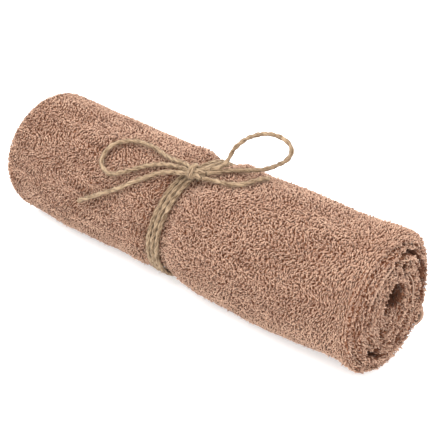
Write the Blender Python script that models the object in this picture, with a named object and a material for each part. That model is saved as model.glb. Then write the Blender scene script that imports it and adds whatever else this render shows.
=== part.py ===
"""A bath towel, folded and rolled up, and tied round its middle with jute twine in a bow."""
import math

import bmesh
import bpy
from mathutils import Matrix, Quaternion, Vector

# The roll: a 0.70 x 1.40 m towel folded in four, wound from its fold outwards
ROLL_LENGTH = 0.350
ROLL_RADIUS = 0.0500
FREE_EDGE_STEP = 0.0045
TURN_PITCH = 0.0108
INNER_TURNS = 3
STEPS_PER_TURN = 48
FREE_EDGE_ANGLE = math.radians(-28)
AXIS_HEIGHT = 0.0462
DOME_DEPTH = 0.0150
DOME_FLAT_RADIUS = 0.0345
OPEN_END_GROOVE = 0.0075
FOLDED_END_GROOVE = 0.0050
CORE_RECESS = 0.0030
CORE_RADIUS = 0.0200
CORE_DEPTH = 0.0100
SHOULDER_SHARES = (0.0, 0.35, 0.70)
UNEVEN_SIDE = 0.0005
UNEVEN_END = 0.0009

# The waist that the twine pulls in, on a plane tilted across the roll
WAIST_DEPTH = 0.0054
WAIST_LIFT = 0.0030
WAIST_LIFT_SPREAD = math.radians(55)
WAIST_TILT = 0.0071
WAIST_TILT_ANGLE = math.radians(80)
WAIST_OFFSET = -0.0004
TILT_REACH = 0.080
WAIST_PROFILE = (
    # distance from the tie, share of the waist's depth
    (0.0000, 1.00),
    (0.0090, 1.00),
    (0.0125, 0.62),
    (0.0170, 0.20),
    (0.0240, -0.08),
    (0.0450, 0.00),
)

# The twine: two plies, which show as two ridges that wind round the cord
TWINE_RADIUS = 0.00185
PLY_RIDGE = 0.15
TWIST_PITCH = 0.0140
TWINE_SIDES = 6
WRAP_TURNS = 3
WRAP_SPACING = 0.0044
WRAP_START_ANGLE = math.radians(108)
GAP = 0.0003

# The knot, which sits over the wraps on the upper front of the roll
KNOT_ANGLE = math.radians(109)
KNOT_RADIUS = 0.0556
KNOT_X = 0.0115
BAND_ACROSS = 0.0050
BAND_UP = 0.0033
BAND_SLANT = 0.0012
BAND_START = math.radians(-58)
BAND_SWEEP = math.radians(296)
KNOT_CORE = (0.0060, 0.0060, 0.0040)
STRAND_END_LEFT = -0.0010
STRAND_END_RIGHT = 0.0210

# Where the three strands pass the knot, in metres from the roll's axis
KNOT_STRANDS = (
    # left end, middle, right end
    ((STRAND_END_LEFT, -0.0148, 0.0535), (KNOT_X, -0.0158, 0.0530), (STRAND_END_RIGHT, -0.0105, 0.0546)),
    ((STRAND_END_LEFT, -0.0194, 0.0520), (KNOT_X, -0.0182, 0.0524), (STRAND_END_RIGHT, -0.0152, 0.0535)),
    ((STRAND_END_LEFT, -0.0235, 0.0495), (KNOT_X, -0.0206, 0.0514), (STRAND_END_RIGHT, -0.0199, 0.0512)),
)

LEFT_LOOP = (
    (-0.0015, -0.0148, 0.0535),
    (-0.0090, -0.0150, 0.0530),
    (-0.0186, -0.0136, 0.0522),
    (-0.0270, -0.0116, 0.0523),
    (-0.0360, -0.0099, 0.0526),
    (-0.0463, -0.0101, 0.0525),
    (-0.0554, -0.0123, 0.0520),
    (-0.0625, -0.0167, 0.0508),
    (-0.0668, -0.0222, 0.0487),
    (-0.0683, -0.0277, 0.0458),
    (-0.0677, -0.0326, 0.0424),
    (-0.0650, -0.0366, 0.0392),
    (-0.0600, -0.0389, 0.0369),
    (-0.0550, -0.0398, 0.0360),
    (-0.0500, -0.0392, 0.0366),
    (-0.0445, -0.0369, 0.0387),
    (-0.0375, -0.0336, 0.0417),
    (-0.0310, -0.0289, 0.0450),
    (-0.0250, -0.0253, 0.0474),
    (-0.0190, -0.0226, 0.0490),
    (-0.0110, -0.0203, 0.0507),
    (-0.0015, -0.0194, 0.0520),
)

RIGHT_LOOP = (
    (0.0215, -0.0152, 0.0535),
    (0.0296, -0.0092, 0.0535),
    (0.0357, 0.0000, 0.0533),
    (0.0412, 0.0035, 0.0537),
    (0.0490, 0.0060, 0.0554),
    (0.0548, 0.0080, 0.0573),
    (0.0597, 0.0100, 0.0597),
    (0.0648, 0.0110, 0.0628),
    (0.0699, 0.0120, 0.0671),
    (0.0724, 0.0125, 0.0713),
    (0.0728, 0.0130, 0.0754),
    (0.0708, 0.0130, 0.0788),
    (0.0664, 0.0130, 0.0812),
    (0.0608, 0.0125, 0.0822),
    (0.0538, 0.0120, 0.0823),
    (0.0464, 0.0110, 0.0799),
    (0.0399, 0.0100, 0.0771),
    (0.0345, 0.0080, 0.0728),
    (0.0300, 0.0060, 0.0682),
    (0.0276, 0.0040, 0.0642),
    (0.0266, 0.0020, 0.0603),
    (0.0264, -0.0015, 0.0567),
    (0.0250, -0.0068, 0.0548),
    (0.0215, -0.0105, 0.0546),
)

LEFT_TAIL = (
    (-0.0015, -0.0235, 0.0495),
    (-0.0090, -0.0256, 0.0475),
    (-0.0150, -0.0284, 0.0452),
    (-0.0225, -0.0336, 0.0412),
    (-0.0315, -0.0394, 0.0357),
    (-0.0388, -0.0433, 0.0307),
    (-0.0502, -0.0471, 0.0243),
    (-0.0628, -0.0501, 0.0172),
    (-0.0753, -0.0521, 0.0098),
)

RIGHT_TAIL = (
    (0.0215, -0.0199, 0.0512),
    (0.0280, -0.0187, 0.0503),
    (0.0363, -0.0161, 0.0507),
    (0.0457, -0.0143, 0.0513),
    (0.0522, -0.0105, 0.0522),
    (0.0571, -0.0044, 0.0530),
    (0.0610, 0.0014, 0.0532),
    (0.0647, 0.0033, 0.0531),
)

TOWEL_COLOUR = (0.420, 0.245, 0.165, 1.0)
TWINE_COLOUR = (0.470, 0.335, 0.190, 1.0)

FULL_TURN = 2 * math.pi


def smooth_step(value):
    value = min(1.0, max(0.0, value))
    return value * value * (3 - 2 * value)


def make_material(name, colour, roughness):
    material = bpy.data.materials.new(name)
    material.use_nodes = True
    shader = material.node_tree.nodes["Principled BSDF"]
    shader.inputs["Base Color"].default_value = colour
    shader.inputs["Roughness"].default_value = roughness
    shader.inputs["Metallic"].default_value = 0.0
    material.diffuse_color = colour
    return material


def add_object(name, shape, material):
    """Link a mesh as an object that is measured from the roll's axis."""
    bmesh.ops.recalc_face_normals(shape, faces=shape.faces[:])
    mesh = bpy.data.meshes.new(name)
    shape.to_mesh(mesh)
    shape.free()
    mesh.shade_smooth()
    mesh.set_sharp_from_angle(angle=math.radians(50))
    mesh.materials.append(material)
    piece = bpy.data.objects.new(name, mesh)
    bpy.context.scene.collection.objects.link(piece)
    return piece


def winding_radius(winding):
    """Outside radius of the cloth at a winding angle, counted inwards from the free edge."""
    turns = winding / FULL_TURN
    if turns <= 1:
        return ROLL_RADIUS + FREE_EDGE_STEP * (0.5 - turns)
    return ROLL_RADIUS - FREE_EDGE_STEP / 2 - TURN_PITCH * (turns - 1)


def waist_share(distance):
    """Share of the waist's depth at a distance from the tie."""
    for (near, near_share), (far, far_share) in zip(WAIST_PROFILE, WAIST_PROFILE[1:]):
        if distance <= far:
            return near_share + (far_share - near_share) * smooth_step((distance - near) / (far - near))
    return 0.0


def tie_shift(angle):
    """How far along the roll the tie's tilted plane lies at an angle round it."""
    return WAIST_OFFSET + WAIST_TILT * math.cos(angle - WAIST_TILT_ANGLE)


def waist_depth(angle):
    """Depth of the waist, which is deeper underneath, where the twine clears the floor."""
    from_bottom = (math.degrees(angle) - 270 + 180) % 360 - 180
    near_bottom = 1 - smooth_step(abs(math.radians(from_bottom)) / WAIST_LIFT_SPREAD)
    return WAIST_DEPTH + WAIST_LIFT * near_bottom


def side_radius(winding, along, station):
    """Radius of the outside of the roll, with its waist and its slight unevenness."""
    angle = FREE_EDGE_ANGLE + winding
    uneven = UNEVEN_SIDE * math.sin(2 * angle + 38 * along) * math.sin(55 * along + 3 * angle + 0.7)
    share = waist_share(abs(station))
    return winding_radius(winding) + uneven * (1 - abs(share)) - share * waist_depth(angle)


def section_point(along, winding, radius):
    """A point at a radius and a winding angle, kept above the flat spot underneath."""
    angle = FREE_EDGE_ANGLE + winding
    height = max(radius * math.sin(angle), -AXIS_HEIGHT)
    return Vector((along, radius * math.cos(angle), height))


def dome_start(winding, end):
    """Radius of the side where it turns over into the domed end; end is -1 or +1."""
    return side_radius(winding, end * (ROLL_LENGTH / 2 - DOME_DEPTH), ROLL_LENGTH)


def dome_x(winding, end, radius):
    """How far along the roll its domed end reaches at a radius."""
    span = (radius - DOME_FLAT_RADIUS) / (dome_start(winding, end) - DOME_FLAT_RADIUS)
    span = min(1.0, max(0.0, span))
    dome = ROLL_LENGTH / 2 - DOME_DEPTH * (1 - math.sqrt(1 - span * span))
    return dome - CORE_RECESS * (1 - smooth_step(radius / CORE_RADIUS))


def end_unevenness(winding, end):
    """How far the cloth's edge sits back where the turns were not rolled up quite level."""
    waves = math.sin(2.6 * winding + end) + math.sin(1.3 * winding)
    return abs(UNEVEN_END * waves) * smooth_step(winding / FULL_TURN - 1)


def crest_radius(winding):
    """Radius of the raised middle of a turn on the end face."""
    return (winding_radius(winding) + winding_radius(winding + FULL_TURN)) / 2


def groove_point(winding, end):
    radius = winding_radius(winding)
    depth = OPEN_END_GROOVE if end > 0 else FOLDED_END_GROOVE
    return section_point(end * (dome_x(winding, end, radius) - depth), winding, radius)


def crest_point(winding, end):
    radius = crest_radius(winding)
    along = dome_x(winding, end, radius) - end_unevenness(winding, end)
    return section_point(end * along, winding, radius)


def shoulder_point(winding, end, share):
    """A point of the outermost turn's rounded shoulder, from the side (0) to its crest (1)."""
    outer = dome_start(winding, end)
    crest_lean = math.acos((crest_radius(winding) - DOME_FLAT_RADIUS) / (outer - DOME_FLAT_RADIUS))
    lean = crest_lean * share
    radius = DOME_FLAT_RADIUS + (outer - DOME_FLAT_RADIUS) * math.cos(lean)
    along = ROLL_LENGTH / 2 - DOME_DEPTH * (1 - math.sin(lean))
    return section_point(end * along, winding, radius)


def side_stations():
    """Distances from the tie of the rings of points along the roll's side."""
    near = [distance for distance, share in WAIST_PROFILE[1:]]
    far = [0.070, 0.095, 0.130]
    one_side = near + far
    return [-distance for distance in reversed(one_side)] + [0.0] + one_side


def outer_column(winding):
    """Points from the left end's crest over the outside to the right end's crest."""
    column = [crest_point(winding, -1)]
    column += [shoulder_point(winding, -1, share) for share in reversed(SHOULDER_SHARES)]
    for station in side_stations():
        follow = 1 - smooth_step(abs(station) / TILT_REACH - 0.35)
        along = station + tie_shift(FREE_EDGE_ANGLE + winding) * follow
        column.append(section_point(along, winding, side_radius(winding, along, station)))
    column += [shoulder_point(winding, 1, share) for share in SHOULDER_SHARES]
    column.append(crest_point(winding, 1))
    return column


def build_towel_roll(material):
    """One closed body: the outside, the free edge's step and the wound turns on both ends."""
    shape = bmesh.new()
    step = FULL_TURN / STEPS_PER_TURN
    columns = []
    for index in range(STEPS_PER_TURN + 1):
        columns.append([shape.verts.new(point) for point in outer_column(index * step)])
    for near, far in zip(columns, columns[1:]):
        for low in range(len(near) - 1):
            shape.faces.new((near[low], near[low + 1], far[low + 1], far[low]))

    # The free edge of the cloth closes the outside turn down to the turn below it
    first, last = columns[0], columns[-1]
    for low in range(len(first) - 1):
        shape.faces.new((last[low], last[low + 1], first[low + 1], first[low]))

    for end, edge in ((-1, 0), (1, -1)):
        crests = [column[edge] for column in columns]
        for index in range(STEPS_PER_TURN + 1, (1 + INNER_TURNS) * STEPS_PER_TURN + 1):
            crests.append(shape.verts.new(crest_point(index * step, end)))
        grooves = {}
        for index in range(STEPS_PER_TURN, (2 + INNER_TURNS) * STEPS_PER_TURN + 1):
            grooves[index] = shape.verts.new(groove_point(index * step, end))
        inner_half(shape, crests, grooves)
        outer_half(shape, crests, grooves)
        shape.faces.new((crests[0], crests[STEPS_PER_TURN], grooves[STEPS_PER_TURN]))
        close_core(shape, crests, grooves, end)
    return add_object("towel_roll", shape, material)


def inner_half(shape, crests, grooves):
    """The slope of every turn on an end face, from its crest down to the groove inside it."""
    for index in range(len(crests) - 1):
        inside = index + STEPS_PER_TURN
        shape.faces.new((crests[index], crests[index + 1], grooves[inside + 1], grooves[inside]))


def outer_half(shape, crests, grooves):
    """The slope of every inner turn on an end face, from its crest down to the groove outside it."""
    for index in range(STEPS_PER_TURN, len(crests) - 1):
        shape.faces.new((grooves[index], grooves[index + 1], crests[index + 1], crests[index]))


def close_core(shape, crests, grooves, end):
    """The hollow in the middle of the innermost turn, closed by a point deep inside."""
    last = len(crests) - 1
    rim = [grooves[index] for index in range(last, last + STEPS_PER_TURN + 1)] + [crests[last]]
    centre = shape.verts.new((end * (ROLL_LENGTH / 2 - CORE_DEPTH), 0.0, 0.0))
    for here, after in zip(rim, rim[1:] + rim[:1]):
        shape.faces.new((here, after, centre))


def smooth_route(points, spacing):
    """Evenly spaced points on a smooth curve through a route's own points."""
    knots = [Vector(point) for point in points]
    ends = [2 * knots[0] - knots[1]] + knots + [2 * knots[-1] - knots[-2]]
    fine = []
    for before, here, after, beyond in zip(ends, ends[1:], ends[2:], ends[3:]):
        for part in range(12):
            t = part / 12
            fine.append(0.5 * (2 * here + (after - before) * t
                               + (2 * before - 5 * here + 4 * after - beyond) * t ** 2
                               + (3 * here - before - 3 * after + beyond) * t ** 3))
    fine.append(knots[-1])
    return even_points(fine, spacing)


def even_points(fine, spacing):
    """Points along a fine line, all the same distance apart."""
    reach = [0.0]
    for here, after in zip(fine, fine[1:]):
        reach.append(reach[-1] + (after - here).length)
    count = max(2, round(reach[-1] / spacing))
    even = []
    segment = 0
    for index in range(count + 1):
        target = reach[-1] * index / count
        while segment < len(fine) - 2 and reach[segment + 1] < target:
            segment += 1
        share = (target - reach[segment]) / (reach[segment + 1] - reach[segment])
        even.append(fine[segment].lerp(fine[segment + 1], share))
    return even


def lift_clear(point):
    """Move a point of a strand out from the axis until the strand clears the towel."""
    angle = math.atan2(point.z, point.y)
    winding = (angle - FREE_EDGE_ANGLE) % FULL_TURN
    station = point.x - tie_shift(angle)
    clear = side_radius(winding, point.x, station) + TWINE_RADIUS * (1 + PLY_RIDGE) + GAP
    radius = math.hypot(point.y, point.z)
    if radius >= clear:
        return point
    return Vector((point.x, point.y * clear / radius, point.z * clear / radius))


def twisted_cord(route):
    """A closed tube along a route, with two ridges that wind round it once in each pitch."""
    shape = bmesh.new()
    heading = (route[1] - route[0]).normalized()
    side = heading.orthogonal().normalized()
    rings = []
    for index, point in enumerate(route):
        ahead = route[min(index + 1, len(route) - 1)] - route[max(index - 1, 0)]
        turn = heading.rotation_difference(ahead.normalized())
        side = turn @ side
        heading = ahead.normalized()
        ring = []
        for corner in range(TWINE_SIDES):
            angle = FULL_TURN * corner / TWINE_SIDES
            ridge = math.cos(2 * (angle - FULL_TURN * index / TWINE_SIDES))
            reach = TWINE_RADIUS * (1 + PLY_RIDGE * ridge)
            ring.append(shape.verts.new(point + Quaternion(heading, angle) @ side * reach))
        rings.append(ring)
    for near, far in zip(rings, rings[1:]):
        for corner in range(TWINE_SIDES):
            beside = (corner + 1) % TWINE_SIDES
            shape.faces.new((near[corner], near[beside], far[beside]))
            shape.faces.new((near[corner], far[beside], far[corner]))
    shape.faces.new(rings[0])
    shape.faces.new(rings[-1])
    return shape


def wrap_route():
    """The winding of the twine round the waist, three turns side by side."""
    fine = []
    steps = WRAP_TURNS * 120
    for index in range(steps + 1):
        turns = WRAP_TURNS * index / steps
        angle = WRAP_START_ANGLE + turns * FULL_TURN
        winding = (angle - FREE_EDGE_ANGLE) % FULL_TURN
        near_edge = min(winding, FULL_TURN - winding) / math.radians(14)
        bridge = FREE_EDGE_STEP / 2 * (1 - smooth_step(near_edge))
        if winding < math.pi:
            bridge = 0.0
        radius = side_radius(winding, 0.0, 0.0) + bridge * 2
        radius += TWINE_RADIUS * (1 + PLY_RIDGE) + GAP
        along = tie_shift(angle) + WRAP_SPACING * (turns - WRAP_TURNS / 2)
        fine.append(Vector((along, radius * math.cos(angle), radius * math.sin(angle))))
    return even_points(fine, TWIST_PITCH / TWINE_SIDES)


def band_route():
    """The strand that goes over the knot: a closed-up ring round the other strands."""
    across = Vector((0, -math.sin(KNOT_ANGLE), math.cos(KNOT_ANGLE)))
    up = Vector((0, math.cos(KNOT_ANGLE), math.sin(KNOT_ANGLE)))
    middle = Vector((KNOT_X, 0, 0)) + up * KNOT_RADIUS
    ring = []
    for index in range(61):
        angle = BAND_START + BAND_SWEEP * index / 60
        slant = Vector((BAND_SLANT * math.cos(angle), 0, 0))
        ring.append(middle + across * BAND_ACROSS * math.cos(angle) + up * BAND_UP * math.sin(angle) + slant)
    return even_points(ring, TWIST_PITCH / TWINE_SIDES)


def knot_core():
    """The packed middle of the knot, where the strands press on each other."""
    shape = bmesh.new()
    bmesh.ops.create_icosphere(shape, subdivisions=2, radius=1.0)
    bmesh.ops.scale(shape, vec=KNOT_CORE, verts=shape.verts)
    bmesh.ops.rotate(shape, matrix=Matrix.Rotation(KNOT_ANGLE - math.pi / 2, 3, "X"), verts=shape.verts)
    middle = Vector((KNOT_X, KNOT_RADIUS * math.cos(KNOT_ANGLE), KNOT_RADIUS * math.sin(KNOT_ANGLE)))
    bmesh.ops.translate(shape, vec=middle, verts=shape.verts)
    return shape


def build_knot(material):
    """The band and the strands that pass through it, fused into one body."""
    spacing = TWIST_PITCH / TWINE_SIDES
    knot = add_object("bow_knot", knot_core(), material)
    joined = [band_route()] + [smooth_route(strand, spacing) for strand in KNOT_STRANDS]
    for number, route in enumerate(joined):
        cutter = add_object(f"knot_strand_{number}", twisted_cord(route), material)
        cutter.hide_render = True
        cutter.display_type = "WIRE"
        join = knot.modifiers.new(f"knot_strand_{number}", "BOOLEAN")
        join.operation = "UNION"
        join.solver = "EXACT"
        join.object = cutter
    return knot


def build_strand(name, points, material):
    spacing = TWIST_PITCH / TWINE_SIDES
    route = [lift_clear(point) for point in smooth_route(points, spacing)]
    return add_object(name, twisted_cord(route), material)


for old in list(bpy.data.objects):
    bpy.data.objects.remove(old)

terry = make_material("terry_cloth", TOWEL_COLOUR, 0.95)
jute = make_material("jute_twine", TWINE_COLOUR, 0.85)

pieces = [build_towel_roll(terry)]
pieces.append(add_object("twine_wraps", twisted_cord(wrap_route()), jute))
pieces.append(build_knot(jute))
pieces.append(build_strand("bow_loop_left", LEFT_LOOP, jute))
pieces.append(build_strand("bow_loop_right", RIGHT_LOOP, jute))
pieces.append(build_strand("bow_tail_left", LEFT_TAIL, jute))
pieces.append(build_strand("bow_tail_right", RIGHT_TAIL, jute))

# The roll's own box is centred over the origin, and its flat spot lies at height zero
across = [point.co.y for point in pieces[0].data.vertices]
axis = Vector((0, -(min(across) + max(across)) / 2, AXIS_HEIGHT))
for piece in list(bpy.context.scene.collection.objects):
    piece.location = axis
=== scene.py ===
import math

import bmesh
import bpy
import numpy as np
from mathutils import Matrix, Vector


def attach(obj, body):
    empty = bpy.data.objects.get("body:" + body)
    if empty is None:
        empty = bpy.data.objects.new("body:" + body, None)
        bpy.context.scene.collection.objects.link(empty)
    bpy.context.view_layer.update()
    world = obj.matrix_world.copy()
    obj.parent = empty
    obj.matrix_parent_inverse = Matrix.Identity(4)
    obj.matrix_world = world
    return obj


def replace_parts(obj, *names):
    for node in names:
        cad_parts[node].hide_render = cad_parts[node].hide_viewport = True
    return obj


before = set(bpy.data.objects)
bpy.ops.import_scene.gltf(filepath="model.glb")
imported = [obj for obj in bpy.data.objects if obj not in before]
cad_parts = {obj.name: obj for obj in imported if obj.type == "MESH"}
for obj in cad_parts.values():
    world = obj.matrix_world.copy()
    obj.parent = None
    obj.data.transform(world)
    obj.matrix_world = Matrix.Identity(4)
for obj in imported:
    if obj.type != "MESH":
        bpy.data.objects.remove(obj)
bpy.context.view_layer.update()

# The camera stands where the photograph was taken from: to the front and right of the
# roll and above it, far enough off that the far end is only slightly smaller.
PHOTO_SIZE = 440
VIEW_AZIMUTH = math.radians(43)
VIEW_ELEVATION = math.radians(30)
VIEW_DISTANCE = 0.7975
FOCAL_PIXELS = 1067
SENSOR_WIDTH = 36.0
ROLL_CENTRE = Vector((0, 0, 0.0485))
ROLL_CENTRE_IN_PHOTO = (200.1, 217.4)

back = Vector((math.sin(VIEW_AZIMUTH) * math.cos(VIEW_ELEVATION),
               -math.cos(VIEW_AZIMUTH) * math.cos(VIEW_ELEVATION),
               math.sin(VIEW_ELEVATION)))
camera_data = bpy.data.cameras.new("camera")
camera_data.sensor_width = SENSOR_WIDTH
camera_data.lens = SENSOR_WIDTH * FOCAL_PIXELS / PHOTO_SIZE
camera_data.shift_x = 0.5 - ROLL_CENTRE_IN_PHOTO[0] / PHOTO_SIZE
camera_data.shift_y = ROLL_CENTRE_IN_PHOTO[1] / PHOTO_SIZE - 0.5
camera = bpy.data.objects.new("camera", camera_data)
camera.location = ROLL_CENTRE + back * VIEW_DISTANCE
camera.rotation_mode = "QUATERNION"
camera.rotation_quaternion = (-back).to_track_quat("-Z", "Y")
bpy.context.scene.collection.objects.link(camera)
bpy.context.scene.camera = camera


# The twine: one length of natural jute, two plies twisted together. It is wound three
# times round the waist of the roll and tied in a bow, whose left loop and two tails lie
# on the towel while its right loop stands up.
FULL_TURN = 2 * math.pi
ROLL_AXIS = np.array((0.0, -0.001263, 0.0462))
ROLL_LENGTH = 0.350
ROLL_RADIUS = 0.0500
FREE_EDGE_STEP = 0.0045
FREE_EDGE_ANGLE = math.radians(-28)
TURN_PITCH = 0.0108
WAIST_DEPTH = 0.0054
WAIST_LIFT = 0.0030
WAIST_LIFT_SPREAD = math.radians(55)
WAIST_TILT = 0.0071
WAIST_TILT_ANGLE = math.radians(80)
WAIST_OFFSET = -0.0004
WAIST_PROFILE = (
    # distance from the tie, share of the waist's depth
    (0.0000, 1.00),
    (0.0090, 1.00),
    (0.0125, 0.62),
    (0.0170, 0.20),
    (0.0240, -0.08),
    (0.0450, 0.00),
)
TWINE_RADIUS = 0.0017
PLY_RADIUS = 0.00128
PLY_OFFSET = 0.00053
BAND_SWELL = 1.25
PLY_WAY = 0.6
PLY_SIDES = 8
PLY_MARGIN = 0.05
PLY_UNEVEN = 0.07
PLY_UNEVEN_WAVE = 0.37
PLY_ROUGH = 0.05
TWIST_PITCH = 0.0140
RINGS_PER_TWIST = 12
RING_SPACING = TWIST_PITCH / RINGS_PER_TWIST
FIBRE_STRETCH = 90
WRAP_TURNS = 3
WRAP_STEPS = 120
WRAP_SPACING = 0.0042
WRAP_START_ANGLE = math.radians(108)
BRIDGE_ANGLE = math.radians(14)
GAP = 0.0003
CURVE_STEPS = 12
KNOT_ANGLE = math.radians(109)
KNOT_RADIUS = 0.0556
KNOT_X = 0.0115
ANY_WAY = (0.31, 0.52, 0.80)
BAND_ACROSS = 0.0050
BAND_UP = 0.0033
BAND_SLANT = 0.0012
BAND_START = math.radians(-58)
BAND_SWEEP = math.radians(296)
BAND_STEPS = 60
STRAND_END_LEFT = -0.0010
STRAND_END_RIGHT = 0.0210

# Where the three strands pass the knot, in metres from the roll's axis, as below
KNOT_STRANDS = (
    # left end, middle, right end
    ((STRAND_END_LEFT, -0.0148, 0.0535), (KNOT_X, -0.0158, 0.0530), (STRAND_END_RIGHT, -0.0105, 0.0546)),
    ((STRAND_END_LEFT, -0.0194, 0.0520), (KNOT_X, -0.0182, 0.0524), (STRAND_END_RIGHT, -0.0152, 0.0535)),
    ((STRAND_END_LEFT, -0.0235, 0.0495), (KNOT_X, -0.0206, 0.0514), (STRAND_END_RIGHT, -0.0199, 0.0512)),
)

LEFT_LOOP = (
    (-0.0015, -0.0148, 0.0535),
    (-0.0090, -0.0150, 0.0530),
    (-0.0186, -0.0136, 0.0522),
    (-0.0270, -0.0116, 0.0523),
    (-0.0360, -0.0099, 0.0526),
    (-0.0463, -0.0101, 0.0525),
    (-0.0554, -0.0123, 0.0520),
    (-0.0625, -0.0167, 0.0508),
    (-0.0668, -0.0222, 0.0487),
    (-0.0683, -0.0277, 0.0458),
    (-0.0677, -0.0326, 0.0424),
    (-0.0650, -0.0366, 0.0392),
    (-0.0600, -0.0389, 0.0369),
    (-0.0550, -0.0398, 0.0360),
    (-0.0500, -0.0392, 0.0366),
    (-0.0445, -0.0369, 0.0387),
    (-0.0375, -0.0336, 0.0417),
    (-0.0310, -0.0289, 0.0450),
    (-0.0250, -0.0253, 0.0474),
    (-0.0190, -0.0226, 0.0490),
    (-0.0110, -0.0203, 0.0507),
    (-0.0015, -0.0194, 0.0520),
)

RIGHT_LOOP = (
    (0.0215, -0.0152, 0.0535),
    (0.0253, -0.0084, 0.0529),
    (0.0296, -0.0026, 0.0534),
    (0.0337, 0.0022, 0.0535),
    (0.0385, 0.0064, 0.0534),
    (0.0442, 0.0095, 0.0545),
    (0.0500, 0.0112, 0.0564),
    (0.0565, 0.0120, 0.0598),
    (0.0634, 0.0120, 0.0645),
    (0.0694, 0.0125, 0.0694),
    (0.0731, 0.0130, 0.0747),
    (0.0739, 0.0130, 0.0795),
    (0.0709, 0.0130, 0.0834),
    (0.0651, 0.0130, 0.0853),
    (0.0580, 0.0120, 0.0859),
    (0.0505, 0.0120, 0.0840),
    (0.0434, 0.0115, 0.0808),
    (0.0366, 0.0105, 0.0766),
    (0.0316, 0.0090, 0.0718),
    (0.0278, 0.0070, 0.0669),
    (0.0268, 0.0045, 0.0628),
    (0.0267, 0.0015, 0.0595),
    (0.0265, -0.0025, 0.0570),
    (0.0245, -0.0070, 0.0553),
    (0.0215, -0.0105, 0.0546),
)

LEFT_TAIL = (
    (-0.0015, -0.0235, 0.0495),
    (-0.0090, -0.0256, 0.0475),
    (-0.0150, -0.0284, 0.0452),
    (-0.0225, -0.0336, 0.0412),
    (-0.0315, -0.0394, 0.0357),
    (-0.0388, -0.0433, 0.0307),
    (-0.0502, -0.0471, 0.0243),
    (-0.0628, -0.0501, 0.0172),
    (-0.0753, -0.0521, 0.0098),
)

RIGHT_TAIL = (
    (0.0215, -0.0199, 0.0512),
    (0.0275, -0.0161, 0.0505),
    (0.0356, -0.0146, 0.0510),
    (0.0430, -0.0125, 0.0515),
    (0.0491, -0.0089, 0.0522),
    (0.0521, -0.0030, 0.0529),
    (0.0543, 0.0041, 0.0528),
    (0.0562, 0.0116, 0.0517),
)
rng = np.random.default_rng(6161)


class Finish:
    """A socket in a material's node tree. Sums and products of sockets add Math nodes."""

    def __init__(self, tree, socket=None):
        self.tree = tree
        self.socket = socket

    def node(self, kind, settings=None, inputs=None, output=0):
        """Add a node: its settings first, then the values or links of its sockets."""
        made = self.tree.nodes.new(kind)
        for name, value in (settings or {}).items():
            setattr(made, name, value)
        for key, value in (inputs or {}).items():
            if isinstance(value, Finish):
                self.tree.links.new(value.socket, made.inputs[key])
            else:
                made.inputs[key].default_value = value
        return Finish(self.tree, made.outputs[output])

    def math(self, operation, first, second):
        return self.node("ShaderNodeMath", {"operation": operation}, {0: first, 1: second})

    def __add__(self, other):
        return self.math("ADD", self, other)

    def __sub__(self, other):
        return self.math("SUBTRACT", self, other)

    def __mul__(self, other):
        return self.math("MULTIPLY", self, other)

    def mix(self, share, first, second):
        """A colour between two others."""
        return self.node("ShaderNodeMix", {"data_type": "RGBA"}, {0: share, 6: first, 7: second}, 2)

    def place(self):
        """Where a point lies, in metres."""
        return self.node("ShaderNodeTexCoord", {}, {}, 3)

    def attribute(self, name, output=2):
        return self.node("ShaderNodeAttribute", {"attribute_name": name}, {}, output)

    def noise(self, place, scale, detail):
        return self.node("ShaderNodeTexNoise", {}, {"Vector": place, "Scale": scale, "Detail": detail})

    def bump(self, height, strength, distance):
        inputs = {"Height": height, "Strength": strength, "Distance": distance}
        return self.node("ShaderNodeBump", {}, inputs)

    def feed(self, socket):
        self.tree.links.new(self.socket, socket)


def new_finish(name, roughness, sheen=0.0, sheen_tint=(1, 1, 1, 1)):
    """A cloth or fibre material: its tree, and the sockets of its shader."""
    material = bpy.data.materials.new(name)
    material.use_nodes = True
    sockets = material.node_tree.nodes["Principled BSDF"].inputs
    sockets["Roughness"].default_value = roughness
    sockets["Specular IOR Level"].default_value = 0.15
    sockets["Sheen Weight"].default_value = sheen
    sockets["Sheen Roughness"].default_value = 0.6
    sockets["Sheen Tint"].default_value = sheen_tint
    return material, Finish(material.node_tree), sockets


def smooth_step(value):
    value = np.clip(value, 0.0, 1.0)
    return value * value * (3 - 2 * value)


def unit(vectors):
    return vectors / np.maximum(np.linalg.norm(vectors, axis=-1, keepdims=True), 1e-12)


def winding_radius(winding):
    """Outside radius of the cloth at a winding angle, counted inwards from the free edge."""
    turns = np.asarray(winding) / FULL_TURN
    outermost = ROLL_RADIUS + FREE_EDGE_STEP * (0.5 - turns)
    inner = ROLL_RADIUS - FREE_EDGE_STEP / 2 - TURN_PITCH * (turns - 1)
    return np.where(turns <= 1, outermost, inner)


def tie_shift(angle):
    """How far along the roll the tie's slanting plane lies at an angle round it."""
    return WAIST_OFFSET + WAIST_TILT * np.cos(angle - WAIST_TILT_ANGLE)


def tie_middle(angle):
    """Where the middle of the three turns of twine lies at an angle round the roll."""
    turned = ((angle - WRAP_START_ANGLE) % FULL_TURN) / FULL_TURN
    return tie_shift(angle) + WRAP_SPACING * (turned - 0.5)


def waist_share(station):
    """Share of the waist's depth at a distance from the tie."""
    share = np.zeros_like(station)
    for (near, near_share), (far, far_share) in zip(WAIST_PROFILE, WAIST_PROFILE[1:]):
        eased = near_share + (far_share - near_share) * smooth_step((station - near) / (far - near))
        share = np.where((station >= near) & (station < far), eased, share)
    return share


def waist_depth(angle):
    """How deep the twine draws in, which is deeper underneath."""
    from_bottom = (angle - 1.5 * math.pi + math.pi) % FULL_TURN - math.pi
    return WAIST_DEPTH + WAIST_LIFT * (1 - smooth_step(np.abs(from_bottom) / WAIST_LIFT_SPREAD))


def tied_radius(winding, along):
    """Radius of the outside of the roll with its waist."""
    angle = FREE_EDGE_ANGLE + winding
    share = waist_share(np.abs(along - tie_shift(angle)))
    return winding_radius(winding) - share * waist_depth(angle)


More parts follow.
